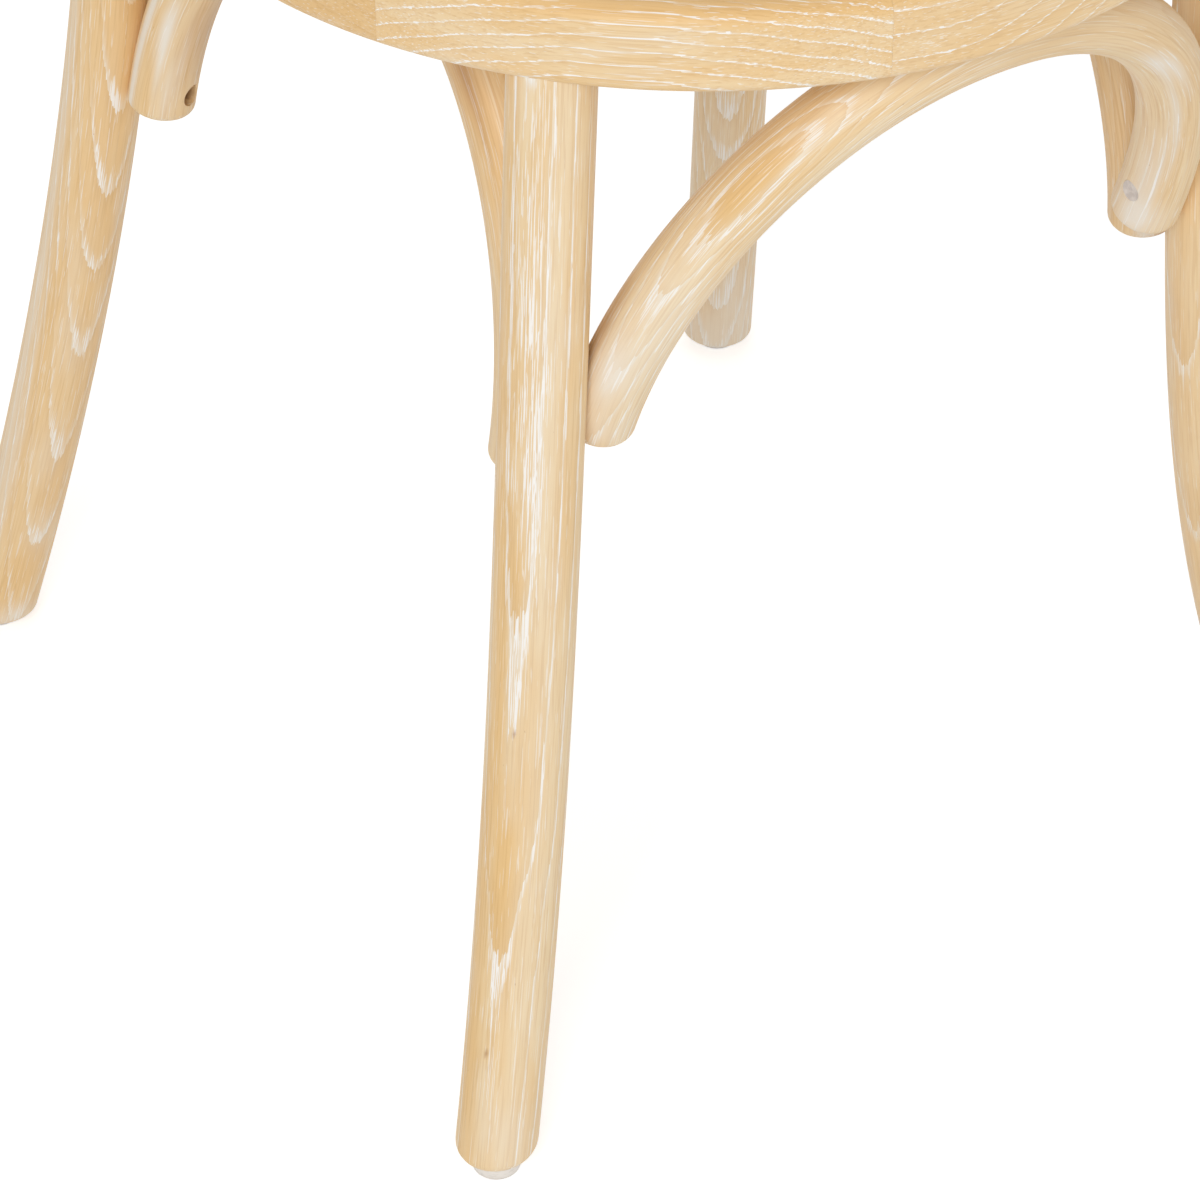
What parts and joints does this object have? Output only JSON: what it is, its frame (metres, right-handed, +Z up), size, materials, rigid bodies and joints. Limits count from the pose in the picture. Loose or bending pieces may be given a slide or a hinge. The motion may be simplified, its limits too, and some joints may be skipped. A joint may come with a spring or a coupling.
{
  "type": "bentwood bistro chair",
  "caption": "Bentwood chair with a round woven seat in a jointed ring, a looped back with crossed slats and arched braces under the seat.",
  "frame": {"origin": "centre of the whole chair's footprint box, on the floor", "axes": "+Z up from the floor, -Y towards the front of the seat, +X to the right as seen from the front"},
  "size_m": [0.4404, 0.4802, 0.8852],
  "materials": {
    "limewashed_wood": "clear satin lacquer over open grain filled with white lime",
    "woven_cane": "natural woven cane",
    "glide_plastic": "off-white, lightly worn",
    "zinc_steel": "zinc plated"
  },
  "bodies": {
    "root": {"back_hoop": "limewashed_wood", "front_leg_left": "limewashed_wood", "front_leg_right": "limewashed_wood", "cross_slat_front": "limewashed_wood", "cross_slat_rear": "limewashed_wood", "brace_front": "limewashed_wood", "brace_left": "limewashed_wood", "brace_right": "limewashed_wood", "brace_rear": "limewashed_wood", "bolt_plug_left": "limewashed_wood", "bolt_plug_right": "limewashed_wood", "seat_ring_segment_1": "limewashed_wood", "seat_ring_segment_2": "limewashed_wood", "seat_ring_segment_3": "limewashed_wood", "seat_ring_segment_4": "limewashed_wood", "seat_ring_segment_5": "limewashed_wood", "seat_ring_segment_6": "limewashed_wood", "seat_ring_segment_7": "limewashed_wood", "seat_ring_segment_8": "limewashed_wood", "ring_tenon_1": "limewashed_wood", "ring_tenon_2": "limewashed_wood", "ring_tenon_3": "limewashed_wood", "ring_tenon_4": "limewashed_wood", "ring_tenon_5": "limewashed_wood", "ring_tenon_6": "limewashed_wood", "ring_tenon_7": "limewashed_wood", "ring_tenon_8": "limewashed_wood", "seat_panel": "woven_cane", "seat_spline": "woven_cane", "glide_front_left": "glide_plastic", "glide_front_right": "glide_plastic", "glide_rear_left": "glide_plastic", "glide_rear_right": "glide_plastic", "seat_bolt_left": "zinc_steel", "seat_bolt_right": "zinc_steel", "cross_slat_screw": "zinc_steel", "brace_front_screw_left": "zinc_steel", "brace_front_screw_right": "zinc_steel", "brace_rear_screw_left": "zinc_steel", "brace_rear_screw_right": "zinc_steel", "brace_left_screw_front": "zinc_steel", "brace_left_screw_rear": "zinc_steel", "brace_right_screw_front": "zinc_steel", "brace_right_screw_rear": "zinc_steel", "brace_front_seat_screw": "zinc_steel", "brace_rear_seat_screw": "zinc_steel", "brace_left_seat_screw": "zinc_steel", "brace_right_seat_screw": "zinc_steel"}
  },
  "joints": []
}
